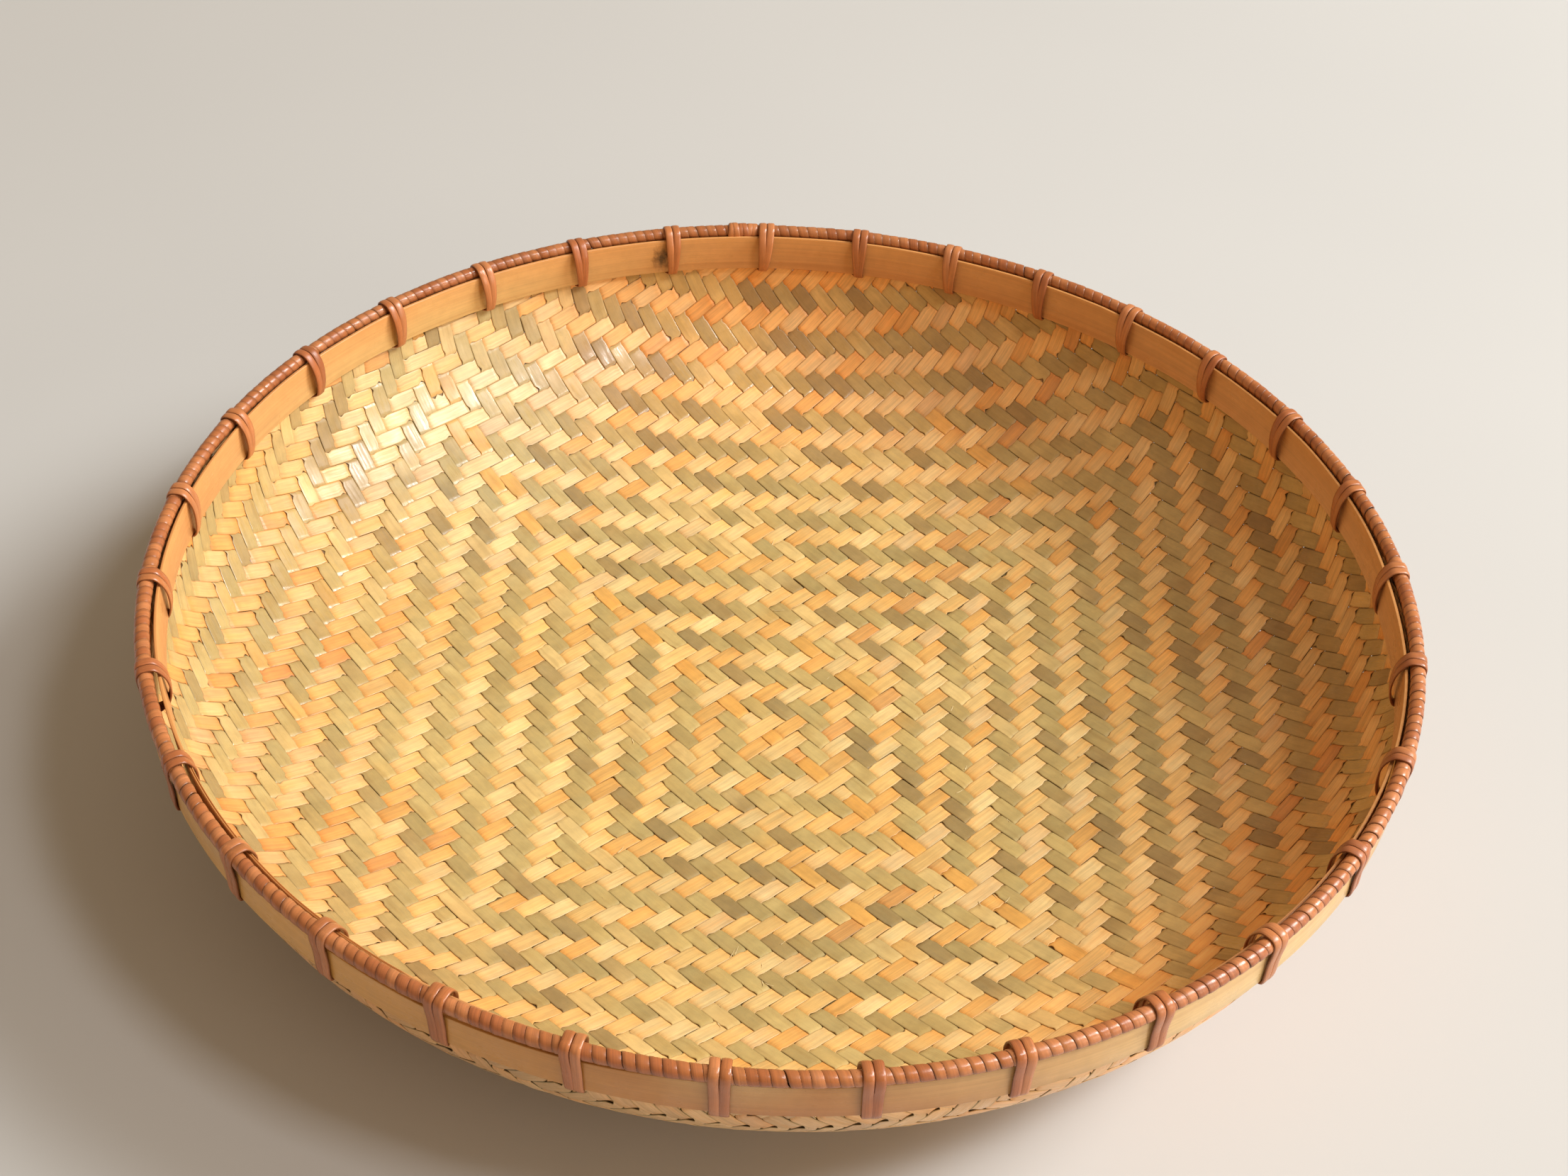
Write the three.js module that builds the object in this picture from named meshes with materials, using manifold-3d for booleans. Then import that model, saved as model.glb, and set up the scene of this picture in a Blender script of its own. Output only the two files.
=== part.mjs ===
// A round winnowing basket: one woven bamboo mat, dished into a shallow bowl and held at its
// edge between an inner and an outer bamboo hoop. A rattan-wrapped cane bead caps the rim, and
// rattan ties lash the bead, both hoops and the mat together.
//
// Millimetres, +Z up. The origin is the middle of the underside, on the surface it stands on.
import * as THREE from 'three';
import { mergeVertices } from 'three/addons/utils/BufferGeometryUtils.js';
import Module from 'manifold-3d';

// ---- driving dimensions -------------------------------------------------------------------
const RIM_RADIUS = 225;        // axis of the basket to the bead's centreline
const BEAD_RADIUS = 2.55;      // cane core and its wrapping together
const WRAP_THICKNESS = 0.95;
const CORE_RADIUS = 1.25;
const TOUCH_GAP = 0.35;        // left between pieces that touch

const MAT_THICKNESS = 1.4;     // two bamboo strips
const MAT_WALL_RADIUS = 223.1; // middle of the mat where the hoops hold it
const MAT_TOP = -2.95;         // mat edge below the bead's centreline
const WALL_HEIGHT = 14;        // upright stretch of the mat between the hoops
const FLAT_RADIUS = 45;        // flat middle that the basket rests on
const CURVED_LENGTH = 249;     // centre of the mat to the foot of its upright wall, along the mat
const SLOPE_LINEAR = 12.9;     // degrees: the slope grows steadily by this much over that length,
const SLOPE_CORNER = 73;       // and by this much more towards the wall,
const SLOPE_POWER = 5.4;       // as this power of the length

const INNER_HOOP = { inside: 220.3, outside: 221.95, top: 0, bottom: -16.4, lapSector: 58 };
const OUTER_HOOP = { inside: 224.15, outside: 226.1, top: -2.95, bottom: -16.4, lapSector: 19 };
const LAP_ANGLE = 30;          // degrees over which a hoop's two ends are scarfed together
const LAP_TIP = 0.5;           // thickness left at a scarf's tip

const TIE_COUNT = 31;
const TIE_FIRST = 6.84;        // degrees clockwise from the back, seen from above
const TIE_WANDER = [           // hand spacing: sway of the ties round the rim, in degrees
  { timesRound: 1, sway: 1.65, phase: 124 },
  { timesRound: 2, sway: 2.18, phase: 84 },
];
const TIE_WIDTH = 5.4;         // two strands side by side
const TIE_THICKNESS = 1.15;
const TIE_SLOT = { width: 6.4, bottom: -18.9, top: -16.5, reach: 4 };

const SECTORS = 96;            // facets round the basket, shared by every ring
const SECTOR = 360 / SECTORS;
const KNOT_START = 351;        // degrees: the wrapping starts and ends one facet apart here
const KNOT_ARC = { inner: BEAD_RADIUS + TOUCH_GAP, outer: BEAD_RADIUS + 1.55, from: -12, to: 118 };

// ---- materials ----------------------------------------------------------------------------
const material = (color, roughness) => new THREE.MeshStandardMaterial({ color, roughness, metalness: 0 });
const woven = material(0xd9b070, 0.55);
const innerCane = material(0xd79a55, 0.45);
const outerCane = material(0xc08a55, 0.45);
const coreCane = material(0xb98a5a, 0.7);
const rattan = material(0xa5623f, 0.35);

// ---- the mat's curve ----------------------------------------------------------------------
// Slope of the mat, in radians, at a length s from its centre.
function matSlope(s) {
  if (s <= FLAT_RADIUS) return 0;
  const t = Math.min(s / CURVED_LENGTH, 1);
  return THREE.MathUtils.degToRad(SLOPE_LINEAR * t + SLOPE_CORNER * t ** SLOPE_POWER);
}

// Middle line of the mat as {r, z, slope}, from the centre to the foot of the wall, with z = 0
// at the centre. The samples crowd towards the wall, where the mat turns up.
function matMiddleLine() {
  const fineSteps = 1200;
  const samples = 9;
  const wanted = [0, FLAT_RADIUS];
  for (let k = 1; k <= samples; k++) {
    wanted.push(FLAT_RADIUS + (CURVED_LENGTH - FLAT_RADIUS) * (k / samples) ** 0.62);
  }
  const line = [];
  const ds = CURVED_LENGTH / fineSteps;
  let r = 0;
  let z = 0;
  for (let i = 0; i <= fineSteps; i++) {
    const s = i * ds;
    if (s >= wanted[line.length] - ds / 2) line.push({ r, z, slope: matSlope(s) });
    r += Math.cos(matSlope(s + ds / 2)) * ds;
    z += Math.sin(matSlope(s + ds / 2)) * ds;
  }
  const stretch = MAT_WALL_RADIUS / line[line.length - 1].r;
  return line.map((p) => ({ r: p.r * stretch, z: p.z * stretch, slope: p.slope }));
}

const middle = matMiddleLine();
const wallFoot = MAT_THICKNESS / 2 + middle[middle.length - 1].z;
const BEAD_HEIGHT = wallFoot + WALL_HEIGHT - MAT_TOP;   // bead's centreline above the ground

// ---- shape helpers ------------------------------------------------------------------------
const radians = THREE.MathUtils.degToRad;

// A point of the plan at a compass angle: clockwise from the back (+Y), seen from above.
function planPoint(azimuth, radius) {
  return new THREE.Vector2(radius * Math.sin(radians(azimuth)), radius * Math.cos(radians(azimuth)));
}

// Turns a profile of (radius, height) points about the vertical axis.
function turned(profile) {
  const geometry = new THREE.LatheGeometry(profile, SECTORS, radians(180 - KNOT_START), Math.PI * 2);
  return geometry.rotateX(Math.PI / 2);
}

// A closed solid, with its shared corners merged, as a manifold for cutting.
function toManifold(wasm, geometry) {
  const bare = geometry.clone();
  bare.deleteAttribute('normal');
  bare.deleteAttribute('uv');
  const merged = mergeVertices(bare, 1e-4);
  return new wasm.Manifold(new wasm.Mesh({
    numProp: 3,
    vertProperties: new Float32Array(merged.attributes.position.array),
    triVerts: new Uint32Array(merged.index.array),
  }));
}

function fromManifold(solid) {
  const mesh = solid.getMesh();
  const geometry = new THREE.BufferGeometry();
  geometry.setAttribute('position', new THREE.BufferAttribute(new Float32Array(mesh.vertProperties), 3));
  geometry.setIndex(new THREE.BufferAttribute(new Uint32Array(mesh.triVerts), 1));
  geometry.computeVertexNormals();
  return geometry;
}

// The stretch of bead that the wrapping covers: all but one facet, which the knot bridges.
class BeadLine extends THREE.Curve {
  getPoint(t, target = new THREE.Vector3()) {
    const azimuth = KNOT_START + SECTOR + t * (360 - SECTOR);
    const p = planPoint(azimuth, RIM_RADIUS);
    return target.set(p.x, p.y, BEAD_HEIGHT);
  }
}

function roundSection(radius, sides) {
  const points = [];
  for (let k = 0; k < sides; k++) {
    const a = (k + 0.5) * 2 * Math.PI / sides;
    points.push(new THREE.Vector2(radius * Math.cos(a), radius * Math.sin(a)));
  }
  return points;
}

// ---- sub-parts ----------------------------------------------------------------------------
// Angle of tie k round the rim, in degrees clockwise from the back.
function tieAzimuth(k) {
  const turn = k / TIE_COUNT;
  let azimuth = TIE_FIRST + 360 * turn;
  for (const w of TIE_WANDER) {
    azimuth += w.sway * Math.cos(2 * Math.PI * w.timesRound * turn + radians(w.phase));
  }
  return azimuth;
}

// The mat as one shell, with a slot under the hoops wherever a tie goes through it.
function wovenMat(wasm) {
  const half = MAT_THICKNESS / 2;
  const side = (sign) => middle.map((p) => new THREE.Vector2(
    Math.max(0, p.r - sign * half * Math.sin(p.slope)),
    half + p.z + sign * half * Math.cos(p.slope),
  ));
  const top = wallFoot + WALL_HEIGHT;
  const profile = [
    ...side(-1),
    new THREE.Vector2(MAT_WALL_RADIUS + half, top),
    new THREE.Vector2(MAT_WALL_RADIUS - half, top),
    ...side(1).reverse(),
  ];
  let solid = toManifold(wasm, turned(profile));
  for (let k = 0; k < TIE_COUNT; k++) {
    const cutter = new THREE.BoxGeometry(
      TIE_SLOT.width, 2 * TIE_SLOT.reach, TIE_SLOT.top - TIE_SLOT.bottom,
    );
    cutter.translate(0, MAT_WALL_RADIUS, BEAD_HEIGHT + (TIE_SLOT.top + TIE_SLOT.bottom) / 2);
    cutter.rotateZ(-radians(tieAzimuth(k)));
    solid = solid.subtract(toManifold(wasm, cutter));
  }
  return fromManifold(solid);
}

// A bamboo hoop: a flat strip bent into a ring, its ends tapered and lapped on each other.
function hoop({ inside, outside, top, bottom, lapSector }) {
  const lapSteps = LAP_ANGLE / SECTOR;
  const outer = [];
  const inner = [];
  for (let i = 0; i <= SECTORS + lapSteps; i++) {
    const azimuth = KNOT_START + (lapSector + i) * SECTOR;
    const intoLap = i / lapSteps;
    const pastTurn = (i - SECTORS) / lapSteps;
    const reach = outside - inside - 2 * LAP_TIP - TOUCH_GAP;
    let low = inside;
    let high = outside;
    if (intoLap <= 1) low = outside - LAP_TIP - reach * intoLap;
    if (pastTurn >= 0) high = outside - LAP_TIP - TOUCH_GAP - reach * pastTurn;
    outer.push(planPoint(azimuth, high));
    inner.push(planPoint(azimuth, low));
    if (i === lapSteps) {
      // step down to full thickness just past the other end's tip
      inner.push(planPoint(azimuth + SECTOR / 4, low));
      inner.push(planPoint(azimuth + SECTOR / 3, inside));
    }
    if (i === SECTORS - 1) {
      // and back off just short of the first end's tip
      outer.push(planPoint(azimuth + SECTOR * 2 / 3, outside));
      outer.push(planPoint(azimuth + SECTOR * 3 / 4, outside - LAP_TIP - TOUCH_GAP));
    }
  }
  const outline = new THREE.Shape([...outer, ...inner.reverse()]);
  const geometry = new THREE.ExtrudeGeometry(outline, { depth: top - bottom, bevelEnabled: false });
  return geometry.translate(0, 0, BEAD_HEIGHT + bottom);
}

function rimCore() {
  const section = new THREE.Shape(roundSection(CORE_RADIUS, 6));
  return new THREE.ExtrudeGeometry(section, {
    steps: SECTORS - 1, extrudePath: new BeadLine(), bevelEnabled: false,
  });
}

function rimWrap() {
  const section = new THREE.Shape(roundSection(BEAD_RADIUS, 8));
  section.holes.push(new THREE.Path(roundSection(BEAD_RADIUS - WRAP_THICKNESS + 0.15, 6)));
  return new THREE.ExtrudeGeometry(section, {
    steps: SECTORS - 1, extrudePath: new BeadLine(), bevelEnabled: false,
  });
}

// Places geometry drawn at the back of the rim (x along it, y outwards from the bead's
// centreline, z up) at another angle round it.
function placedOnRim(geometry, azimuth) {
  return geometry.translate(0, RIM_RADIUS, BEAD_HEIGHT).rotateZ(-radians(azimuth));
}

// Stands a flat outline of (outwards, up) points upright across the rim, with a given width.
function acrossRim(shape, width) {
  const geometry = new THREE.ExtrudeGeometry(shape, { depth: width, bevelEnabled: false });
  return geometry.translate(0, 0, -width / 2).applyMatrix4(new THREE.Matrix4().set(
    0, 0, 1, 0,
    1, 0, 0, 0,
    0, 1, 0, 0,
    0, 0, 0, 1,
  ));
}

// The knot where the wrapping strand starts and ends: a saddle over the bead's outer side.
function wrapKnot() {
  const { inner, outer, from, to } = KNOT_ARC;
  const shape = new THREE.Shape();
  shape.absarc(0, 0, outer, radians(from), radians(to), false);
  shape.absarc(0, 0, inner, radians(to), radians(from), true);
  const length = radians(SECTOR) * RIM_RADIUS * 0.86;
  return placedOnRim(acrossRim(new THREE.Shape(shape.getPoints(4)), length), KNOT_START + SECTOR / 2);
}

// A tie's loop, seen along the rim: in from the top of the bead, down inside, where it stands off
// the inner hoop, through the mat under both hoops, and up outside the outer hoop.
function tieLoop() {
  const clear = BEAD_RADIUS + 0.4 + TIE_THICKNESS / 2;
  const under = -17.65;
  return new THREE.CatmullRomCurve3([
    new THREE.Vector3(0, clear, 0),
    new THREE.Vector3(-4.2, 2.6, 0),
    new THREE.Vector3(-7, -2.4, 0),
    new THREE.Vector3(-7.3, -9.5, 0),
    new THREE.Vector3(-6.3, -15.6, 0),
    new THREE.Vector3(-4.4, under, 0),
    new THREE.Vector3(1.2, under, 0),
    new THREE.Vector3(2.5, -15.4, 0),
    new THREE.Vector3(clear - 0.4, -8, 0),
    new THREE.Vector3(clear + 0.1, -0.8, 0),
    new THREE.Vector3(clear * 0.8, clear * 0.72, 0),
  ], true, 'catmullrom', 0.5);
}

function tie(azimuth) {
  const loop = tieLoop();
  const steps = 2 * loop.points.length;
  const outside = [];
  const inside = [];
  for (let i = 0; i < steps; i++) {
    const p = loop.getPoint(i / steps);
    const along = loop.getTangent(i / steps);
    const inwards = new THREE.Vector2(-along.y, along.x).multiplyScalar(TIE_THICKNESS / 2);
    outside.push(new THREE.Vector2(p.x - inwards.x, p.y - inwards.y));
    inside.push(new THREE.Vector2(p.x + inwards.x, p.y + inwards.y));
  }
  const shape = new THREE.Shape(outside);
  shape.holes.push(new THREE.Path(inside));
  return placedOnRim(acrossRim(shape, TIE_WIDTH), azimuth);
}

// ---- assembly -----------------------------------------------------------------------------
const wasm = await Module();
wasm.setup();

const basket = new THREE.Group();
function add(name, geometry, finish) {
  const mesh = new THREE.Mesh(geometry, finish);
  mesh.name = name;
  basket.add(mesh);
}

add('woven_mat', wovenMat(wasm), woven);
add('inner_hoop', hoop(INNER_HOOP), innerCane);
add('outer_hoop', hoop(OUTER_HOOP), outerCane);
add('rim_core', rimCore(), coreCane);
add('rim_wrap', rimWrap(), rattan);
add('wrap_knot', wrapKnot(), rattan);
for (let k = 0; k < TIE_COUNT; k++) {
  add(`tie_${String(k + 1).padStart(2, '0')}`, tie(tieAzimuth(k)), rattan);
}

export default basket;
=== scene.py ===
"""The looks of a round winnowing basket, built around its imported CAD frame.

Every bamboo strip of the mat is its own ribbon, woven over and under the others and shaped to the
bowl. Two bamboo bands hold the mat's edge, a rattan strand is coiled round the edge bead, and
rattan lashings tie it all together. Shapes are worked out in millimetres and stored in metres.
"""

import math

import bpy
import numpy as np
from mathutils import Matrix, Vector


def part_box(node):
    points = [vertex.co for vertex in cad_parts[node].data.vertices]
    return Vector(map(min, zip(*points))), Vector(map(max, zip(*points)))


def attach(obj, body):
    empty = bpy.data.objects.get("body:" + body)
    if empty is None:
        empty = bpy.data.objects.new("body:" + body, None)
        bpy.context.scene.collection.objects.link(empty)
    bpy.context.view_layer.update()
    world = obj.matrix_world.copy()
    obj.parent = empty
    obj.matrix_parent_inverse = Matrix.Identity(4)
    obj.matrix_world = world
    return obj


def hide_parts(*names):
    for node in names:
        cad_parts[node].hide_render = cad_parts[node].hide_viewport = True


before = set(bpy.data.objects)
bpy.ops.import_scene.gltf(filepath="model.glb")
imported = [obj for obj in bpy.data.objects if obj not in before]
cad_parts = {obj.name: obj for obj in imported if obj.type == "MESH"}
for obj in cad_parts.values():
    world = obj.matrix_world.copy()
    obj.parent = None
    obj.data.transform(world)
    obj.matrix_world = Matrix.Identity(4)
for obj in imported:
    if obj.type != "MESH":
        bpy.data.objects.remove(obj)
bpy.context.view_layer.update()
MM = 0.001
rng = np.random.default_rng(1931)

# ---- sizes, in millimetres -----------------------------------------------------------------
bead_low, bead_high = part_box("rim_wrap")
BEAD_Z = (bead_low.z + bead_high.z) / 2 / MM
RIM_RADIUS = 225.0          # axis of the basket to the bead's centreline
BEAD_RADIUS = 2.55

MAT_WALL_RADIUS = 223.1     # middle of the mat where the bands hold it
FLAT_RADIUS = 45.0
CURVED_LENGTH = 249.0       # centre of the mat to the foot of its upright wall, along the mat
SLOPE_LINEAR, SLOPE_CORNER, SLOPE_POWER = 12.9, 73.0, 5.4      # degrees, degrees, power
WALL_HEIGHT = 14.0
MAT_MIDDLE = 0.7            # height of the mat's middle surface over the table

STRIP_PITCH = 6.446
STRIP_THICKNESS = 0.5
STRIP_RISE = 0.30           # how far a strip's middle goes above and below the mat's middle
STRIP_COVER = 1.0           # strip width over pitch
COVER_SPREAD = 0.008        # how much strips differ in that
HEIGHT_SPREAD = 0.035       # up and down, along a strip
DRIFT_SPREAD = 0.014        # sideways, in strips
ROLL_SPREAD = 1.0           # about its own length, in degrees
END_SPREAD = (-1.4, 0.4)    # how far past the mat's edge a strip ends
WEAVE_REACH = 44            # strips numbered from -WEAVE_REACH to WEAVE_REACH each way
WEAVE_CENTRE = (-1.0, -2.7)  # where the two middle strips cross
SPLINTERS = 28              # in each direction
SPLINTER_REACH = 18         # how many strips from the middle they lie at most
MAT_PIECES = 8              # each direction's strips are shared out between this many meshes

TIE_COUNT, TIE_FIRST = 31, 6.84
TIE_WANDER = ((1, 1.65, 124.0), (2, 2.18, 84.0))      # times round, sway, phase, in degrees
KNOT_AZIMUTH = 353.0
SCAR_AZIMUTH, SCAR_DEPTH = 343.8, 9.0       # a bamboo knot's dark scar, below the bead's middle


# ---- small helpers -------------------------------------------------------------------------
def linear(red, green, blue):
    """A colour given as 0-255 screen values, as linear light."""
    c = np.array([red, green, blue], float) / 255
    return np.where(c <= 0.04045, c / 12.92, ((c + 0.055) / 1.055) ** 2.4)


def ease(x):
    x = np.clip(x, 0, 1)
    return x * x * (3 - 2 * x)


def bump_at(azimuth, centre, half_width):
    """1 at centre, falling smoothly to 0 half_width degrees away."""
    away = np.abs((azimuth - centre + 180) % 360 - 180)
    return ease(1 - away / half_width)


def bumps_at(azimuth, parts):
    """The sum of some bumps, each given as (height, centre, half width)."""
    return sum(height * bump_at(azimuth, centre, half_width) for height, centre, half_width in parts)


def polar(x, y):
    """Distance from the axis and compass angle."""
    return np.hypot(x, y), np.degrees(np.arctan2(x, y))


def around(azimuth, radius, height):
    """Points in the basket's frame at a compass angle, clockwise from the back seen from above."""
    a = np.radians(azimuth)
    return np.stack(np.broadcast_arrays(radius * np.sin(a), radius * np.cos(a), height), -1)


class Body:
    """Gathers swept closed bodies into one mesh. A sweep is a stack of rings of points, each
    joined to the next by four-sided faces, and capped at both ends unless it closes on itself."""

    def __init__(self):
        self.points, self.tones, self.grains, self.quads, self.caps = [], [], [], [], []
        self.count = 0

    def sweep(self, rings, tone, grain, closed=False):
        n, m = rings.shape[:2]
        index = np.arange(n * m).reshape(n, m)
        rows = np.vstack([index, index[:1]]) if closed else index
        here, there = rows[:-1], rows[1:]
        quads = np.stack([here, np.roll(here, -1, 1), np.roll(there, -1, 1), there], -1).reshape(-1, 4)
        caps = [] if closed else [index[0][::-1], index[-1]]
        flat = rings.reshape(-1, 3)
        p = flat[quads] - flat.mean(0)
        volume = np.einsum("ij,ij->i", p[:, 0], np.cross(p[:, 1], p[:, 2])).sum()
        volume += np.einsum("ij,ij->i", p[:, 0], np.cross(p[:, 2], p[:, 3])).sum()
        if volume < 0:
            quads = quads[:, ::-1]
            caps = [c[::-1] for c in caps]
        self.points.append(flat)
        self.tones.append(np.broadcast_to(tone, (n, m, 3)).reshape(-1, 3))
        self.grains.append(np.broadcast_to(grain, (n, m, 3)).reshape(-1, 3))
        self.quads.append(quads + self.count)
        self.caps += [c + self.count for c in caps]
        self.count += n * m

    def build(self, name, material, slot, *replaced):
        quads = np.concatenate(self.quads)
        corners = np.concatenate([quads.ravel()] + self.caps)
        sizes = np.array([4] * len(quads) + [len(c) for c in self.caps])
        mesh = bpy.data.meshes.new(name)
        mesh.vertices.add(self.count)
        mesh.vertices.foreach_set("co", (np.concatenate(self.points) * MM).astype(np.float32).ravel())
        mesh.loops.add(len(corners))
        mesh.loops.foreach_set("vertex_index", corners.astype(np.int32))
        mesh.polygons.add(len(sizes))
        mesh.polygons.foreach_set("loop_start", (np.cumsum(sizes) - sizes).astype(np.int32))
        mesh.update(calc_edges=True)
        tone = mesh.attributes.new("tone", "FLOAT_COLOR", "POINT")
        rgba = np.ones((self.count, 4), np.float32)
        rgba[:, :3] = np.concatenate(self.tones)
        tone.data.foreach_set("color", rgba.ravel())
        grain = mesh.attributes.new("grain", "FLOAT_VECTOR", "POINT")
        grain.data.foreach_set("vector", (np.concatenate(self.grains) * MM).astype(np.float32).ravel())
        mesh.shade_smooth()
        mesh.materials.append(material)
        piece = bpy.data.objects.new(name, mesh)
        bpy.context.scene.collection.objects.link(piece)
        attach(piece, "root")
        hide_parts(*replaced)


# ---- materials -----------------------------------------------------------------------------
class Shader:
    """A short way to write a node material."""

    def __init__(self, name):
        self.material = bpy.data.materials.new(name)
        self.material.use_nodes = True
        self.tree = self.material.node_tree
        self.surface = self.tree.nodes["Principled BSDF"]

    def node(self, kind, inputs=None, **settings):
        made = self.tree.nodes.new(kind)
        for key, value in settings.items():
            setattr(made, key, value)
        for key, value in (inputs or {}).items():
            if isinstance(value, bpy.types.NodeSocket):
                self.tree.links.new(value, made.inputs[key])
            else:
                made.inputs[key].default_value = value
        return made

    def attribute(self, name):
        return self.node("ShaderNodeAttribute", attribute_name=name)

    def stretched(self, vector, scale):
        return self.node("ShaderNodeVectorMath", {0: vector, 1: scale}, operation="MULTIPLY").outputs[0]

    def noise(self, vector, detail, roughness):
        made = self.node("ShaderNodeTexNoise", {
            "Vector": vector, "Scale": 1.0, "Detail": detail, "Roughness": roughness})
        return made.outputs["Fac"]

    def ramp(self, value, from_low, from_high, to_low, to_high):
        return self.node("ShaderNodeMapRange", {
            "Value": value, "From Min": from_low, "From Max": from_high,
            "To Min": to_low, "To Max": to_high}).outputs["Result"]

    def maths(self, operation, a, b):
        return self.node("ShaderNodeMath", {0: a, 1: b}, operation=operation).outputs[0]

    def mixed(self, factor, a, b, blend="MIX"):
        made = self.node("ShaderNodeMix", data_type="RGBA", blend_type=blend)
        for socket, value in ((made.inputs[0], factor), (made.inputs[6], a), (made.inputs[7], b)):
            if isinstance(value, bpy.types.NodeSocket):
                self.tree.links.new(value, socket)
            else:
                socket.default_value = value
        return made.outputs[2]

    def plug(self, **inputs):
        for key, value in inputs.items():
            socket = self.surface.inputs[key.replace("_", " ")]
            if isinstance(value, bpy.types.NodeSocket):
                self.tree.links.new(value, socket)
            else:
                socket.default_value = value


def scar(s, grain, colour, relief):
    """Adds the dark scar's colour and bump to those of the inner band. Returns both."""
    middle = (math.radians(SCAR_AZIMUTH) * RIM_RADIUS * MM, (BEAD_Z - SCAR_DEPTH) * MM, 0)
    half_length, half_height = 4.2 * MM, 6.2 * MM
    off = s.node("ShaderNodeVectorMath", {0: grain, 1: middle}, operation="SUBTRACT").outputs[0]
    off = s.stretched(off, (1 / half_length, 1 / half_height, 0))
    away = s.node("ShaderNodeVectorMath", {0: off}, operation="LENGTH").outputs["Value"]
    ragged = s.noise(s.stretched(grain, (420, 300, 0)), 4.0, 0.65)
    away = s.maths("ADD", away, s.ramp(ragged, 0.25, 0.75, -0.45, 0.45))
    colour = s.mixed(s.ramp(away, 0.65, 1.25, 0.6, 0.0), colour, (*linear(120, 78, 44), 1))
    colour = s.mixed(s.ramp(away, 0.2, 0.75, 0.85, 0.0), colour, (*linear(70, 44, 26), 1))
    relief = s.maths("ADD", relief, s.ramp(away, 0.4, 1.1, 1.6, 0.0))
    return colour, relief


def fibre_material(name, fibre, streak, fibre_depth, streak_depth, gloss, gleam, bump, dark, coat,
                   mottle, scarred=False):
    """Split cane or rattan: lengthwise fibres and streaks over the strip's own tone, a few dark
    flecks, and a thin worn varnish. fibre and streak are (along, across) in cycles per metre, gloss
    is the middle roughness, gleam how much the fibres change it, and bump is in millimetres."""
    s = Shader(name)
    tone = s.attribute("tone").outputs["Color"]
    grain = s.attribute("grain").outputs["Vector"]
    place = s.node("ShaderNodeTexCoord").outputs["Object"]
    fine = s.noise(s.stretched(grain, (fibre[0], fibre[1], fibre[1])), 4.0, 0.62)
    broad = s.noise(s.stretched(grain, (streak[0], streak[1], streak[1])), 3.0, 0.5)
    cloud = s.noise(s.stretched(place, (210, 210, 210)), 4.0, 0.6)
    shade = s.ramp(fine, 0.3, 0.7, 1 - fibre_depth, 1 + fibre_depth * 0.6)
    shade = s.maths("MULTIPLY", shade, s.ramp(broad, 0.3, 0.7, 1 - streak_depth, 1 + streak_depth * 0.6))
    shade = s.maths("MULTIPLY", shade, s.ramp(cloud, 0.3, 0.7, 1 - mottle, 1 + mottle))
    grey = s.node("ShaderNodeCombineColor", {0: shade, 1: shade, 2: shade}).outputs[0]
    colour = s.mixed(1.0, tone, grey, "MULTIPLY")
    browned = s.mixed(s.ramp(broad, 0.52, 0.72, 0.0, 0.35), colour, (*dark, 1))
    fleck = s.noise(s.stretched(grain, (700, 2600, 2600)), 2.0, 0.6)
    colour = s.mixed(s.ramp(fleck, 0.73, 0.78, 0.0, 0.55), browned, (*(np.array(dark) * 0.45), 1))
    wear = s.noise(s.stretched(place, (90, 90, 90)), 3.0, 0.6)
    rough = s.maths("ADD", s.ramp(fine, 0.36, 0.64, gleam, -gleam),
                    s.ramp(wear, 0.38, 0.62, gloss - 0.10, gloss + 0.10))
    relief = s.maths("ADD", s.ramp(fine, 0, 1, 0, 0.6), s.ramp(broad, 0, 1, 0, 0.4))
    if scarred:
        colour, relief = scar(s, grain, colour, relief)
    normal = s.node("ShaderNodeBump", {
        "Strength": 0.55, "Distance": bump * MM, "Height": relief}).outputs[0]
    s.plug(Base_Color=colour, Roughness=rough, Normal=normal, Coat_Weight=coat, Coat_Roughness=0.3)
    return s.material


rising_finish = fibre_material(
    "bamboo_strip_light", fibre=(60, 1300), streak=(24, 330), fibre_depth=0.20, streak_depth=0.12,
    gloss=0.50, gleam=0.10, bump=0.09, dark=linear(226, 150, 66), coat=0.22, mottle=0.05)
falling_finish = fibre_material(
    "bamboo_strip_khaki", fibre=(70, 1000), streak=(30, 300), fibre_depth=0.09, streak_depth=0.06,
    gloss=0.38, gleam=0.18, bump=0.05, dark=linear(140, 108, 58), coat=0.20, mottle=0.09)
BAND_LOOK = dict(
    fibre=(9, 1300), streak=(4, 260), fibre_depth=0.10, streak_depth=0.10,
    gloss=0.38, gleam=0.05, bump=0.08, dark=linear(150, 90, 42), coat=0.26, mottle=0.05)
inner_band_finish = fibre_material("bamboo_band_inner", scarred=True, **BAND_LOOK)
outer_band_finish = fibre_material("bamboo_band_outer", **BAND_LOOK)
rattan_finish = fibre_material(
    "rattan_strand", fibre=(35, 2200), streak=(12, 500), fibre_depth=0.20, streak_depth=0.16,
    gloss=0.35, gleam=0.08, bump=0.09, dark=linear(110, 52, 28), coat=0.22, mottle=0.07)


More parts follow.
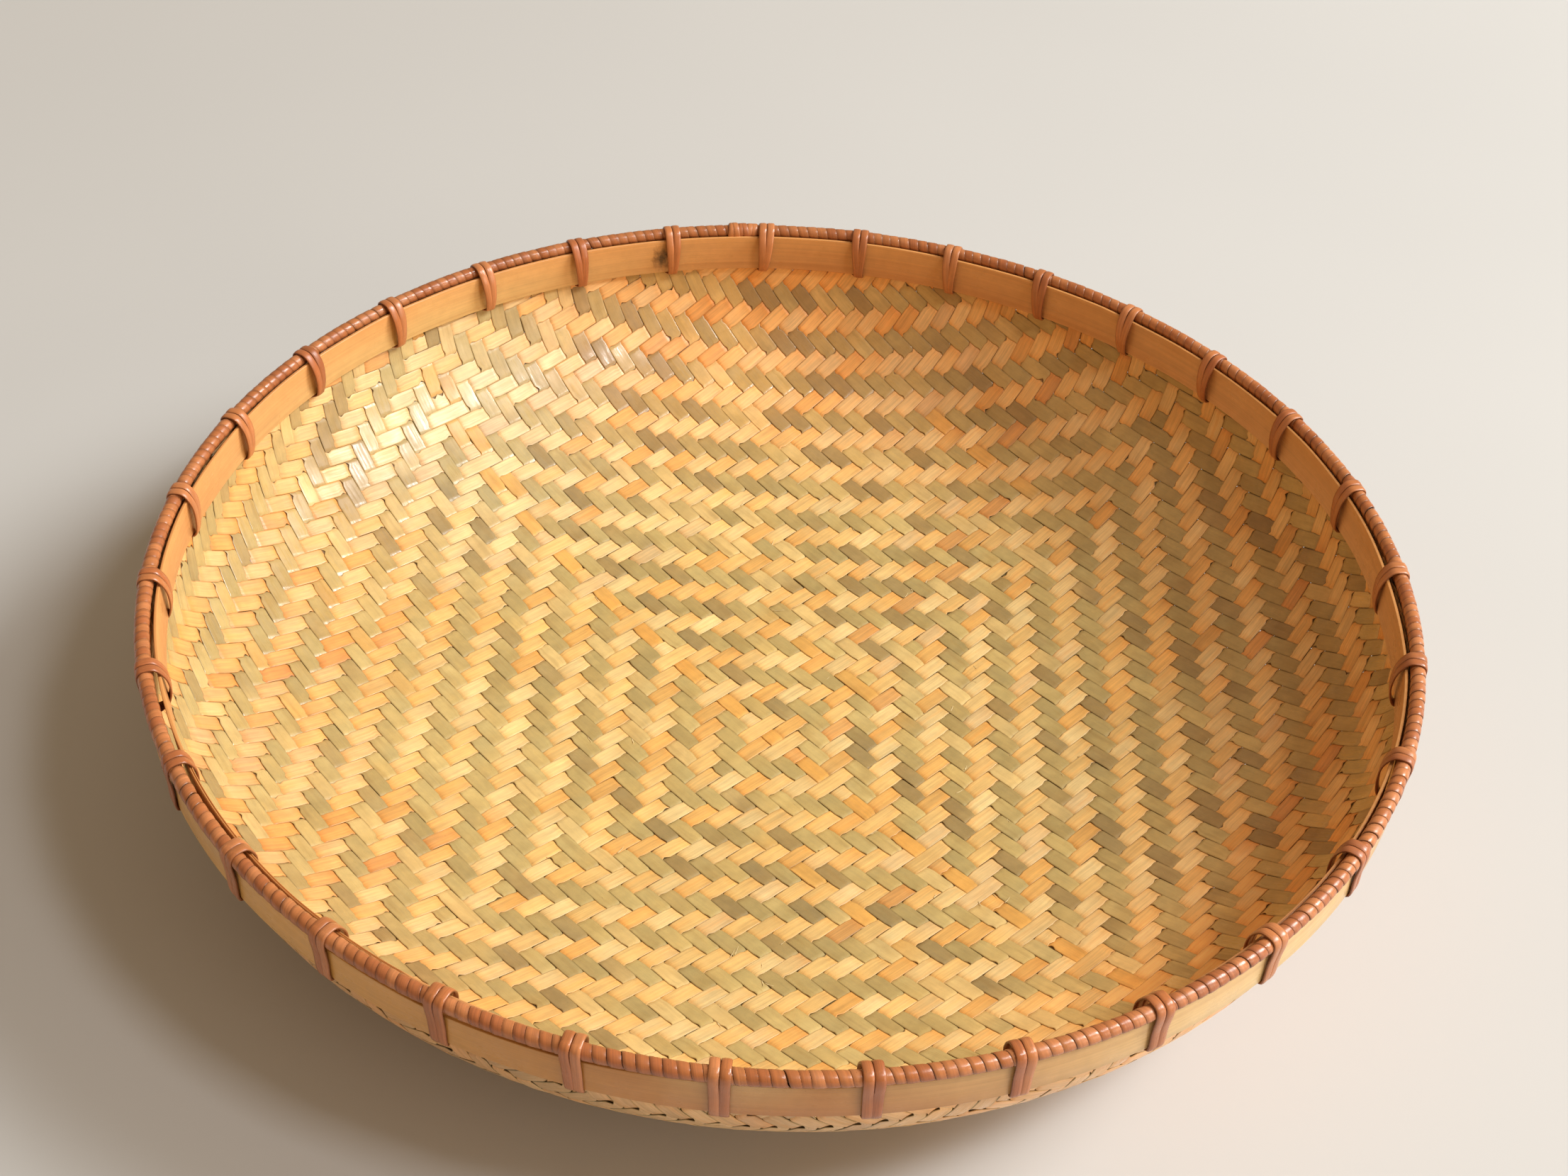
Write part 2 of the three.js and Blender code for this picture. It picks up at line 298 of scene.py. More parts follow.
# ---- the mat's surface ---------------------------------------------------------------------
def mat_curve():
    """Arc length, radius, height and slope along the mat, from its centre up its wall."""
    steps = 1500
    s = np.linspace(0, CURVED_LENGTH, steps + 1)
    t = s / CURVED_LENGTH
    slope = np.radians(SLOPE_LINEAR * t + SLOPE_CORNER * t ** SLOPE_POWER)
    slope = slope * ease((s - FLAT_RADIUS + 12) / 24)
    half = (slope[1:] + slope[:-1]) / 2
    ds = s[1]
    r = np.concatenate([[0], np.cumsum(np.cos(half)) * ds])
    z = np.concatenate([[0], np.cumsum(np.sin(half)) * ds])
    stretch = MAT_WALL_RADIUS / r[-1]
    wall = 200.0
    s = np.append(s * stretch, [CURVED_LENGTH * stretch + 0.5, CURVED_LENGTH * stretch + wall])
    r = np.append(r * stretch, [MAT_WALL_RADIUS, MAT_WALL_RADIUS])
    z = np.append(z * stretch, [z[-1] * stretch + 0.5, z[-1] * stretch + wall])
    slope = np.append(slope, [math.pi / 2, math.pi / 2])
    return s, r, z + MAT_MIDDLE, slope


CURVE_S, CURVE_R, CURVE_Z, CURVE_SLOPE = mat_curve()
MAT_EDGE = CURVE_S[-2] + WALL_HEIGHT


def on_mat(x, y, height):
    """Points on the mat: x and y are laid off flat from its centre, and follow the bowl up.
    height is measured off the mat's middle surface, to its inner side."""
    q = np.hypot(x, y)
    cosine = np.where(q > 1e-9, x / np.maximum(q, 1e-9), 1.0)
    sine = np.where(q > 1e-9, y / np.maximum(q, 1e-9), 0.0)
    slope = np.interp(q, CURVE_S, CURVE_SLOPE)
    r = np.interp(q, CURVE_S, CURVE_R) - height * np.sin(slope)
    z = np.interp(q, CURVE_S, CURVE_Z) + height * np.cos(slope)
    return np.stack([r * cosine, r * sine, z], -1)


def woven_net():
    """Where the strips cross, laid off flat: a net of equal rhombus sides draped on the bowl, as a
    woven mat drapes. Found corner by corner, outwards from the two middle strips."""
    n = WEAVE_REACH + 2
    p = STRIP_PITCH
    net = np.zeros((n + 1, n + 1, 2))
    net[:, 0, 0] = np.arange(n + 1) * p
    net[0, :, 1] = np.arange(n + 1) * p

    def spot(a, b):
        q = math.hypot(a, b)
        r = np.interp(q, CURVE_S, CURVE_R) / max(q, 1e-9)
        return np.array([a * r, b * r, np.interp(q, CURVE_S, CURVE_Z)])

    def misfit(corner, one, two):
        """How much too long the sides from a corner to its two known neighbours are."""
        at = spot(*corner)
        return np.array([np.linalg.norm(at - one) - p, np.linalg.norm(at - two) - p])

    nudge = 1e-3
    for total in range(2, 2 * n + 1):
        for i in range(max(1, total - n), min(n, total - 1) + 1):
            j = total - i
            one, two = spot(*net[i - 1, j]), spot(*net[i, j - 1])
            corner = net[i - 1, j] + net[i, j - 1] - net[i - 1, j - 1]
            for _ in range(6):
                off = misfit(corner, one, two)
                (a, b), (c, d) = np.stack(
                    [(misfit(corner + way, one, two) - off) / nudge for way in nudge * np.eye(2)], 1)
                spread = a * d - b * c
                if abs(spread) < 1e-3:
                    break
                step = np.array([d * off[0] - b * off[1], a * off[1] - c * off[0]]) / spread
                corner = corner - np.clip(step, -p / 2, p / 2)
            net[i, j] = corner
    k = np.arange(-n, n + 1)
    full = net[np.abs(k)][:, np.abs(k)]
    full = full * np.stack(np.meshgrid(np.sign(k), np.sign(k), indexing="ij"), -1)
    return full, n


NET, NET_HALF = woven_net()


def crossing(i, j):
    """Flat-laid x, y of fractional crossing (i, j), smoothly between the net's corners."""
    def weights(t):
        return np.stack([-t + 2 * t**2 - t**3, 2 - 5 * t**2 + 3 * t**3,
                         t + 4 * t**2 - 3 * t**3, t**3 - t**2]) / 2

    i, j = np.broadcast_arrays(np.asarray(i, float), np.asarray(j, float))
    i0 = np.clip(np.floor(i).astype(int), -NET_HALF + 1, NET_HALF - 2)
    j0 = np.clip(np.floor(j).astype(int), -NET_HALF + 1, NET_HALF - 2)
    wi, wj = weights(i - i0), weights(j - j0)
    found = 0
    for a in range(4):
        for b in range(4):
            corner = NET[i0 + NET_HALF + a - 1, j0 + NET_HALF + b - 1]
            found = found + corner * (wi[a] * wj[b])[..., None]
    a, b = found[..., 0], found[..., 1]
    return (a + b) / math.sqrt(2) + WEAVE_CENTRE[0], (b - a) / math.sqrt(2) + WEAVE_CENTRE[1]


# ---- the strips ----------------------------------------------------------------------------
# Across a strip: place over its width, and height over its thickness, once round its section.
STRIP_SECTION = np.array([
    (-0.50, 0.15), (-0.48, 0.44), (-0.41, 0.50), (0.41, 0.50), (0.48, 0.44),
    (0.50, 0.15), (0.475, -0.42), (0.41, -0.50), (-0.41, -0.50), (-0.475, -0.42)])
STATIONS = np.array([0.0, 0.28, 0.37, 0.45, 0.5, 0.55, 0.63, 0.72])     # between two crossings
SEEDS = 140                 # random values along a strip, the middle one at its middle crossing
TONE_SEEDS = 64
TONE_LENGTH = 11.0          # crossings from one of a strip's tones to the next

RISING_TONES = [(4, (255, 218, 147)), (4, (254, 206, 126)), (2, (250, 191, 106)),
                (0.5, (248, 208, 144)), (0.3, (238, 176, 102))]
FALLING_TONES = [(3, (196, 170, 108)), (2.5, (207, 180, 114)), (1.9, (178, 150, 96)),
                 (1.6, (220, 190, 120)), (0.9, (238, 203, 132)), (0.12, (240, 182, 96))]
MIDDLE_FALLING_TONE = (242, 180, 92)
STRAW = (228, 200, 134)
UNDERSIDE = linear(246, 196, 138)
BOUNCE = 0.84               # a screen colour in full light to the strip's own colour

# Where the mat differs: the middle and half width of a stretch of wall, in degrees, then how far
# from the mat's middle the difference starts, and over what distance it grows to its full size.
SLIT_WALL = (268, 62, 130, 70)      # the falling strips part most
SLIT_FOOT = (176, 95, 222, 14)      # the underside has bold slits
STRAW_WALL = (268, 70, 50, 90)      # the falling strips are straw-coloured
# A painted pale highlight, a sheen on all strips at the back left.
PAINTED_SHEEN_WALL = (318, 34, 100, 80)      # all strips are paler
# Stretches with painted light or painted shade, and stretches that are spared the wall's painted
# warm bounce light: size, middle and half width.
LIT_WALL = ((0.10, 352, 40), (0.38, 136, 50), (-0.09, 262, 60))
SPARED_WALL = ((0.75, 180, 62), (0.85, 312, 34), (0.30, 60, 60))
SPARED_FALLING = (0.9, 262, 70)
DIVE_START, DIVE_SPAN = 0.32, 0.36  # where between two crossings a strip changes its level
NOTCH_SPAN = 0.56                   # how far from a crossing towards the next a notch reaches


def rising_on_top(i, j):
    """The mat's pattern: twill two over and two under, turned at both middle strips, which draws
    concentric squares."""
    return np.isin((np.abs(i) + np.abs(j)) % 4, (1, 2))


def strip_ends(k, across, rising, edge):
    """How far along strip k, in crossings, the line `across` strips from its middle runs before it
    reaches the mat's edge, each way."""
    along = np.arange(-NET_HALF + 2, NET_HALF - 2, 0.05)
    x, y = crossing(k + across, along) if rising else crossing(along, k + across)
    inside = np.hypot(x, y) < edge
    if inside.sum() < 20:
        return None
    first, last = np.flatnonzero(inside)[[0, -1]]
    return along[first], along[last]


def within(reach, azimuth, stretch):
    """How fully a place is inside a stretch of wall, from 0 to 1."""
    centre, half_width, start, growth = stretch
    return ease((reach - start) / growth) * bump_at(azimuth, centre, half_width)


def painted_bounce_light(points, rising):
    """Painted warm bounce light, which makes the mat's wall redder than its middle, but less so at the
    front, at the back left and at the back right, and at the left its falling strips stay khaki."""
    radius, azimuth = polar(points[..., 0], points[..., 1])
    parts = SPARED_WALL if rising else (*SPARED_WALL, SPARED_FALLING)
    spared = np.max([bumps_at(azimuth, [part]) for part in parts], axis=0)
    return ease((radius - 110) / 100) * (1 - spared)


def places_along(k, across, rising, edge):
    """How far along strip k each corner of each of its rings is, in crossings, or None where the
    strip misses the mat. Its ends are cut along the mat's edge."""
    ends = [strip_ends(k, a, rising, edge) for a in across]
    if None in ends:
        return None
    ends = np.array(ends)
    low, high = ends[:, 0].max() + 0.4, ends[:, 1].min() - 0.4
    if high - low < 0.5:
        low = high = (low + high) / 2
    whole = np.arange(math.ceil(low) - 1, math.floor(high) + 2)
    shared = (whole[:, None] + STATIONS).ravel()
    shared = shared[(shared > low + 0.1) & (shared < high - 0.1)]
    shared = np.concatenate([[low], shared, [high]]) if high > low else np.array([low])
    before = max(3, int((low - ends[:, 0].min()) / 0.3))
    after = max(3, int((ends[:, 1].max() - high) / 0.3))
    t0 = np.linspace(0, 1, before, endpoint=False)[:, None]
    t1 = np.linspace(0, 1, after + 1)[1:, None]
    return np.vstack([
        ends[:, 0] * (1 - t0) + low * t0,
        np.repeat(shared[:, None], len(across), 1),
        high * (1 - t1) + ends[:, 1] * t1])


class Strip:
    """Strip k of one direction. places holds how far along it, in crossings, each corner of each
    ring is, and is None where the mat has no such strip. t is how far a corner is on its way from
    one crossing to the next, and here and there are 1 where the strip is on top at those two
    crossings, and -1 where it is below."""

    def __init__(self, k, rising):
        self.k, self.rising = k, rising
        cover = STRIP_COVER * (1 + rng.normal(0, COVER_SPREAD))
        self.across = STRIP_SECTION[:, 0] * cover
        edge = MAT_EDGE + rng.uniform(*END_SPREAD)
        self.tone_seed = rng.random(TONE_SEEDS)
        self.seeds = {use: rng.normal(0, 1, SEEDS)
                      for use in ("height", "roll", "drift", "shade", "warm", "notch")}
        self.seeds["notch"] = 0.02 + 0.10 * np.abs(self.seeds["notch"])
        self.grain_start = rng.uniform(0, 4000)
        self.places = places_along(k, self.across, rising, edge)
        if self.places is None:
            return
        crossings = np.floor(self.places).astype(int)
        self.t = self.places - crossings
        self.here = np.where(rising_on_top(k, crossings) == rising, 1.0, -1.0)
        self.there = np.where(rising_on_top(k, crossings + 1) == rising, 1.0, -1.0)
        self.level = self.here + (self.there - self.here) * ease((self.t - DIVE_START) / DIVE_SPAN)
        bulge = 0.10 * self.here * (self.here == self.there) * np.sin(math.pi * self.t) ** 2
        self.level = self.level + bulge
        self.reach, self.azimuth = polar(*self.flat_spots(k))

    def flat_spots(self, sideways):
        """Flat-laid x, y of places along the strip, at a place across the mat's strips."""
        return crossing(sideways, self.places) if self.rising else crossing(self.places, sideways)

    def read(self, use, stretch=1.0):
        """A random value for each place along, with one seed every `stretch` crossings."""
        return np.interp(self.places / stretch, np.arange(SEEDS) - SEEDS // 2, self.seeds[use])

    def notch(self):
        """How far its edges are drawn in, as a share of its half width."""
        dives, rises = self.here > self.there, self.here < self.there
        side = self.across * np.where(self.k * self.places >= 0, 1, -1)
        leaving = np.sin(math.pi * np.clip(self.t / NOTCH_SPAN, 0, 1)) ** 2
        arriving = np.sin(math.pi * np.clip((1 - self.t) / NOTCH_SPAN, 0, 1)) ** 2
        depth = self.read("notch")
        # Before it dives, a strip is drawn in on the side where its neighbour is under already,
        # which opens a small dark notch between the two.
        above = dives * leaving * (side > 0) + rises * arriving * (side < 0)
        wider = 1 + 1.5 * (self.reach / 284) ** 2
        if not self.rising:
            wider = wider + 0.8 * within(self.reach, self.azimuth, SLIT_WALL)
        notch = np.minimum(above * depth * wider, 0.62 * above)
        # Over the mat's flatter middle its corner is also cut where it dives, mostly on falling
        # strips.
        corner = dives * (side > 0) * np.clip(1 - np.abs(self.t - 0.46) / 0.13, 0, 1)
        corner = corner + rises * (side < 0) * np.clip(1 - np.abs(self.t - 0.54) / 0.13, 0, 1)
        cut = 0.04 + 0.4 * depth if self.rising else 0.09 + 0.9 * depth
        notch = notch + corner * cut * (1 - 0.85 * ease((self.reach - 110) / 70))
        # At the front, the underside has bolder slits along the foot of the wall.
        below = rises * leaving * (side > 0) + dives * arriving * (side < 0)
        bold = within(self.reach, self.azimuth, SLIT_FOOT) * ease(depth / 0.14)
        return notch + 0.75 * below * bold

    def shape(self):
        """Its rings of points, and the flat-laid x, y under them."""
        height = STRIP_RISE * self.level + HEIGHT_SPREAD * self.read("height")
        height = height + STRIP_THICKNESS * STRIP_SECTION[:, 1]
        roll = np.tan(np.radians(ROLL_SPREAD)) * self.read("roll")
        height = height + STRIP_PITCH * self.across * roll
        drift = DRIFT_SPREAD * self.read("drift", 3.0)
        sideways = self.k + self.across * (1 - self.notch()) + drift
        x, y = self.flat_spots(sideways)
        return on_mat(x, y, height), x, y

    def own_tone(self):
        """The strip's colour along its length, which changes every TONE_LENGTH crossings."""
        tones = RISING_TONES if self.rising else FALLING_TONES
        share = np.cumsum([n for n, _ in tones]) / sum(n for n, _ in tones)
        palette = np.array([linear(*c) for _, c in tones])
        if self.k == 0 and not self.rising:
            palette[:] = linear(*MIDDLE_FALLING_TONE)
        anchors = palette[np.searchsorted(share, self.tone_seed)]
        at = (self.places + 60) / TONE_LENGTH + self.tone_seed[0] * 3
        first = np.floor(at).astype(int)
        blend = ease((at - first - 0.3) / 0.4)[..., None]
        tone = anchors[first] * (1 - blend) + anchors[first + 1] * blend
        if not self.rising:
            straw = 0.35 * within(self.reach, self.azimuth, STRAW_WALL)
            tone = tone * (1 - straw[..., None]) + linear(*STRAW) * straw[..., None]
        return tone

    def tint_and_painted_light(self, rings):
        """What is taken from its red, green and blue, more where it is redder: its own random warmth,
        more towards a rising float's ends, painted warm bounce light on the wall, and less under a
        painted pale highlight at the back left.
        """
        warm = 0.32 * np.clip(self.read("warm"), -1.5, 1.5)[..., None] * (0.0, 0.07, 0.16)
        if self.rising:
            ends = (self.here != self.there) * (1 - 2 * np.abs(self.t - 0.5)) - 0.22
            warm = warm + ends[..., None] * (0.05, 0.15, 0.28)
        # On the wall, painted warm bounce light.
        redder = (-0.05, 0.17, 0.24) if self.rising else (-0.05, 0.12, 0.18)
        warm = warm + painted_bounce_light(rings, self.rising)[..., None] * redder
        # At the back left, a painted pale highlight.
        paler = within(self.reach, self.azimuth, PAINTED_SHEEN_WALL)
        return warm - paler[..., None] * (-0.02, 0.05, 0.28)

    def tone(self, rings, x, y):
        """The colour at each point of its rings."""
        up = STRIP_SECTION[:, 1]
        shade = 1 + 0.055 * self.read("shade", 2.0) + 0.03 * rng.normal()
        below = ease((-up - 0.42) / 0.08)[None, :, None] * 0.7
        tone = self.own_tone() * (1 - below) + UNDERSIDE * below
        # Painted shade along its side edges, where it meets its neighbours.
        tone = tone * (1 - 0.2 * ease((np.abs(STRIP_SECTION[:, 0]) - 0.42) / 0.06))[None, :, None]
        # What lies under another strip gets painted shade, and shows only in the notches.
        covered = ease((-self.level * np.sign(up) - 0.5) / 0.3)
        reach, azimuth = polar(x, y)
        # Painted light and painted shade on some stretches of the wall.
        lit = 1 + bumps_at(azimuth, LIT_WALL) * ease((reach - 120) / 90)
        light = BOUNCE * (lit * shade * (1 - 0.72 * covered))[..., None]
        return tone * (1 - self.tint_and_painted_light(rings)) * light

    def parts(self):
        """Its rings, tones and grain."""
        rings, x, y = self.shape()
        grain = np.stack([self.places * STRIP_PITCH + self.grain_start,
                          np.broadcast_to(self.across * STRIP_PITCH, x.shape) + 10.0 * self.k,
                          np.broadcast_to(STRIP_THICKNESS * STRIP_SECTION[:, 1], x.shape)], -1)
        return rings, self.tone(rings, x, y), grain


def splinter(rising):
    """A hair of bamboo lifted off a strip's edge: a thin blade that tapers to nothing."""
    spot = rng.uniform(-SPLINTER_REACH, SPLINTER_REACH, 2)
    spot[0 if rising else 1] = round(spot[0 if rising else 1]) + 0.47
    length, lifted, breadth = rng.uniform(0.25, 0.6), rng.uniform(0.3, 0.9), rng.uniform(0.16, 0.34)
    turned = rng.normal(0, 0.35)
    t = np.linspace(0, 1, 4)
    ahead = np.array([turned, 1.0]) if rising else np.array([1.0, turned])
    i, j = (spot[:, None] + ahead[:, None] * length * t)
    x, y = crossing(i, j)
    middle = on_mat(x, y, STRIP_RISE + STRIP_THICKNESS * 0.4 + lifted * t ** 2)
    side = on_mat(*crossing(i + 0.02 * ahead[1], j - 0.02 * ahead[0]), 0.0) - on_mat(x, y, 0.0)
    side /= np.linalg.norm(side, axis=1)[:, None]
    width = (breadth * (1 - 0.85 * t))[:, None]
    lift = np.array([0, 0, 0.5]) * width
    rings = np.stack([middle - side * width, middle + lift, middle + side * width, middle - lift], 1)
    return rings, linear(255, 232, 176) * BOUNCE, rings


for rising in (True, False):
    bodies = [Body() for _ in range(MAT_PIECES)]
    for k in range(-WEAVE_REACH, WEAVE_REACH + 1):
        strip = Strip(k, rising)
        if strip.places is not None:
            bodies[k % MAT_PIECES].sweep(*strip.parts())
    for count in range(SPLINTERS):
        bodies[count % MAT_PIECES].sweep(*splinter(rising))
    for number, body in enumerate(bodies):
        label, finish = ("mat_rising", rising_finish) if rising else ("mat_falling", falling_finish)
        body.build(f"{label}_{number + 1}", finish, "woven_bamboo", "woven_mat")


# ---- the two bands -------------------------------------------------------------------------
def band_section(corner):
    """A strip standing on edge with rounded corners: 0-1 across its thickness and its height,
    with the corners' own offsets in millimetres."""
    points = []
    for cx, cz, start in ((0, 0, 180), (1, 0, 270), (1, 1, 0), (0, 1, 90)):
        for step in range(4):
            a = math.radians(start + 30 * step)
            points.append((cx, cz, corner * (math.cos(a) + (1 if cx == 0 else -1)),
                           corner * (math.sin(a) + (1 if cz == 0 else -1))))
    return np.array(points)


def band_tone(azimuth, up, rest, parts, edge, edge_from, edge_over):
    """Some colours that take over from the rest round a compass angle, each given as (colour,
    centre, half width), and another colour at the band's upper edge."""
    tone, left = 0, 1
    for colour, centre, half_width in parts:
        share = (bump_at(azimuth, centre, half_width) * np.ones_like(up))[..., None]
        tone = tone + linear(*colour) * share
        left = left - share
    tone = tone + linear(*rest) * left
    top = ease((up - edge_from) / edge_over)[..., None]
    return (tone * (1 - top) + linear(*edge) * top) * BOUNCE


def band(name, inside, outside, top, bottom, lap_start, lean, tilt, sink, colours, finish, slot,
         replaced):
    """A bamboo strip bent into a ring, its two ends tapered and lapped on each other. top and bottom
    are heights over the bead's middle. lean moves it outwards, tilt its lower edge inwards, and sink
    its upper edge down."""
    section = band_section(0.32)
    lap, tip, gap = 30.0, 0.5, 0.1      # degrees, an end's thickness, and the gap in the lap
    azimuth = lap_start + np.linspace(0, 360 + lap, 1041)
    start_lap = np.clip((azimuth - lap_start) / lap, 0, 1)
    end_lap = np.clip((azimuth - lap_start - 360) / lap, 0, 1)
    reach = outside - inside - 2 * tip - gap
    low = np.where(azimuth < lap_start + lap, outside - tip - reach * start_lap, inside)
    high = np.where(azimuth > lap_start + 360, outside - tip - gap - reach * end_lap, outside)
    step_in = ease((azimuth - lap_start - lap) / 1.5)
    stepped = low * step_in + (inside + tip + gap) * (1 - step_in)
    low = np.where(azimuth >= lap_start + lap, stepped, low)
    step_out = ease((lap_start + 360 - azimuth) / 1.5)
    stepped = high * step_out + (outside - tip - gap) * (1 - step_out)
    high = np.where(azimuth <= lap_start + 360, stepped, high)
    sway = lean(azimuth)
    waves = rng.normal(0, 0.12, 72)
    turn = np.linspace(0, 360, len(waves) + 1)
    ripple = np.interp(azimuth % 360, turn, np.append(waves, waves[0]))
    low, high = low + sway, high + sway
    r = low[:, None] + (high - low)[:, None] * section[:, 0] + section[:, 2]
    r = r - tilt(azimuth)[:, None] * (1 - section[:, 1])
    top_line = BEAD_Z + top + ripple - sink(azimuth)
    z = (BEAD_Z + bottom) * (1 - section[:, 1]) + top_line[:, None] * section[:, 1] + section[:, 3]
    rings = around(azimuth[:, None], r, z)
    tone = band_tone(azimuth[:, None], (z - BEAD_Z - bottom) / (top - bottom), *colours)
    grain = np.stack([np.radians(azimuth)[:, None] * RIM_RADIUS + 0 * z, z, r - inside], -1)
    body = Body()
    body.sweep(rings, tone, grain)
    body.build(name, finish, slot, replaced)


def inner_lean(azimuth):
    """The inner band stands off the bead in places."""
    return -bumps_at(azimuth, ((0.85, 240, 34), (0.4, 281, 9), (0.9, 88, 13)))


def inner_tilt(azimuth):
    """At the left the inner band's lower edge stands further in than its upper edge."""
    return 1.5 * bump_at(azimuth, 250, 26)


def inner_sink(azimuth):
    """At the front the inner band's edge is hidden below the bead."""
    return 2.3 * bump_at(azimuth, 165, 62)


def outer_lean(azimuth):
    """The outer band stands a little further out at the front."""
    return 0.25 * bump_at(azimuth, 200, 20)


def outer_sink(azimuth):
    """The outer band drops away from the bead at the front left."""
    return 1.3 * bump_at(azimuth, 206, 24)


BAND_BOTTOM = -16.4
# Painted light in these colours: the inner band's yellower colour at the back left and paler colour at
# the right back, and the outer band's bright colour at the front right and lighter colour at the front
# left.
INNER_COLOURS = ((230, 160, 100), (((240, 200, 130), 314, 52), ((250, 195, 144), 72, 62)),
                 (238, 168, 98), 0.93, 0.06)
OUTER_COLOURS = ((204, 130, 56), (((255, 216, 150), 137, 42), ((255, 194, 108), 227, 56)),
                 (236, 190, 128), 0.95, 0.05)
band("inner_band", inside=220.5, outside=221.7, top=-0.5, bottom=BAND_BOTTOM, lap_start=208.5,
     lean=inner_lean, tilt=inner_tilt, sink=inner_sink, colours=INNER_COLOURS,
     finish=inner_band_finish, slot="inner_bamboo", replaced="inner_hoop")
band("outer_band", inside=224.15, outside=226.1, top=-2.95, bottom=BAND_BOTTOM, lap_start=62.25,
     lean=outer_lean, tilt=np.zeros_like, sink=outer_sink, colours=OUTER_COLOURS,
     finish=outer_band_finish, slot="outer_bamboo", replaced="outer_hoop")


# ---- the bead's wrapping -------------------------------------------------------------------
WRAP_TONES = np.array([linear(*c) for c in (
    (211, 132, 78), (202, 122, 70), (218, 139, 86), (194, 114, 66))])
# A flat split rattan strand: place over its width and height over its thickness.
STRAND_SECTION = np.array([
    (-0.48, -0.45), (-0.50, 0.02), (-0.43, 0.30), (-0.18, 0.46),
    (0.18, 0.46), (0.43, 0.30), (0.50, 0.02), (0.48, -0.45)])


def bead_wrapping():
    """One strand coiled slantwise round the bead, each turn lapping a little on the last."""
    turns, per_turn = 352, 16
    width, thickness = 4.4, 0.62
    pitch = 1 + rng.normal(0, 0.11, turns + 1)
    starts = np.append(0, np.cumsum(pitch))
    starts = starts / starts[turns] * 360
    count = turns * per_turn
    u = np.arange(count) / per_turn
    azimuth = KNOT_AZIMUTH + np.interp(u, np.arange(turns + 2), starts)
    phi = 2 * math.pi * u
    wobble = np.interp(u, np.arange(turns), rng.normal(0, 0.05, turns))
    radius = BEAD_RADIUS - thickness * 0.5 + 0.1 + wobble
    advance = np.radians(360 / turns) * RIM_RADIUS
    slant = math.atan2(advance, 2 * math.pi * BEAD_RADIUS)
    across, up = STRAND_SECTION[:, 0] * width, STRAND_SECTION[:, 1] * thickness
    lap = 0.22 * (STRAND_SECTION[:, 0] + 0.1)
    out = radius[:, None] + up + lap
    along_rim = across * math.cos(slant)
    turned = phi[:, None] - across * math.sin(slant) / out
    r = RIM_RADIUS + out * np.cos(turned)
    z = BEAD_Z + out * np.sin(turned)
    az = azimuth[:, None] + np.degrees(along_rim / RIM_RADIUS)
    rings = around(az, r, z)
    pick = WRAP_TONES[rng.integers(0, len(WRAP_TONES), turns + 1)]
    k = np.minimum(u.astype(int), turns - 1)
    t = ease((u - k - 0.3) / 0.4)[:, None]
    tone = pick[k] * (1 - t) + pick[k + 1] * t
    # Painted shade in the seams between turns, deeper at some turns than at others.
    depth = np.interp(u, np.arange(turns), rng.uniform(0.35, 0.9, turns))
    seam = 1 - depth[:, None] * ease((np.abs(STRAND_SECTION[:, 0]) - 0.40) / 0.08)
    tone = tone[:, None, :] * seam[:, :, None] * BOUNCE
    # Painted shade on the back left.
    tone = tone * (1 - 0.12 * bump_at(azimuth, 325, 80))[:, None, None]
    grain = np.stack([np.broadcast_to((u * 14.0)[:, None], r.shape),
                      np.broadcast_to(across, r.shape), out], -1)
    body = Body()
    body.sweep(rings, tone, grain)
    body.build("bead_wrapping", rattan_finish, "rattan", "rim_wrap")


bead_wrapping()


# ---- lashings ------------------------------------------------------------------------------
def tie_azimuth(k):
    """Where tie k is. The ties are nearly evenly spaced, with a slow sway round the rim."""
    turn = k / TIE_COUNT
    azimuth = TIE_FIRST + 360 * turn
    for times, sway, phase in TIE_WANDER:
        azimuth += sway * math.cos(2 * math.pi * times * turn + math.radians(phase))
    return azimuth


def smooth_loop(points, count):
    """count points along the closed smooth curve through the given ones, evenly spaced."""
    points = np.asarray(points, float)
    n = len(points)
    t = np.arange(n * 24) / 24
    k = t.astype(int)
    f = (t - k)[:, None]
    p0, p1, p2, p3 = (points[(k + d) % n] for d in (-1, 0, 1, 2))
    curve = p1 + 0.5 * f * (p2 - p0 + f * (2 * p0 - 5 * p1 + 4 * p2 - p3 + f * (3 * (p1 - p2) + p3 - p0)))
    gaps = np.linalg.norm(np.roll(curve, -1, 0) - curve, axis=1)
    s = np.append(0, np.cumsum(gaps))
    ring = np.vstack([curve, curve[:1]])
    want = np.linspace(0, s[-1], count, endpoint=False)
    return np.stack([np.interp(want, s, ring[:, c]) for c in range(ring.shape[1])], 1), want


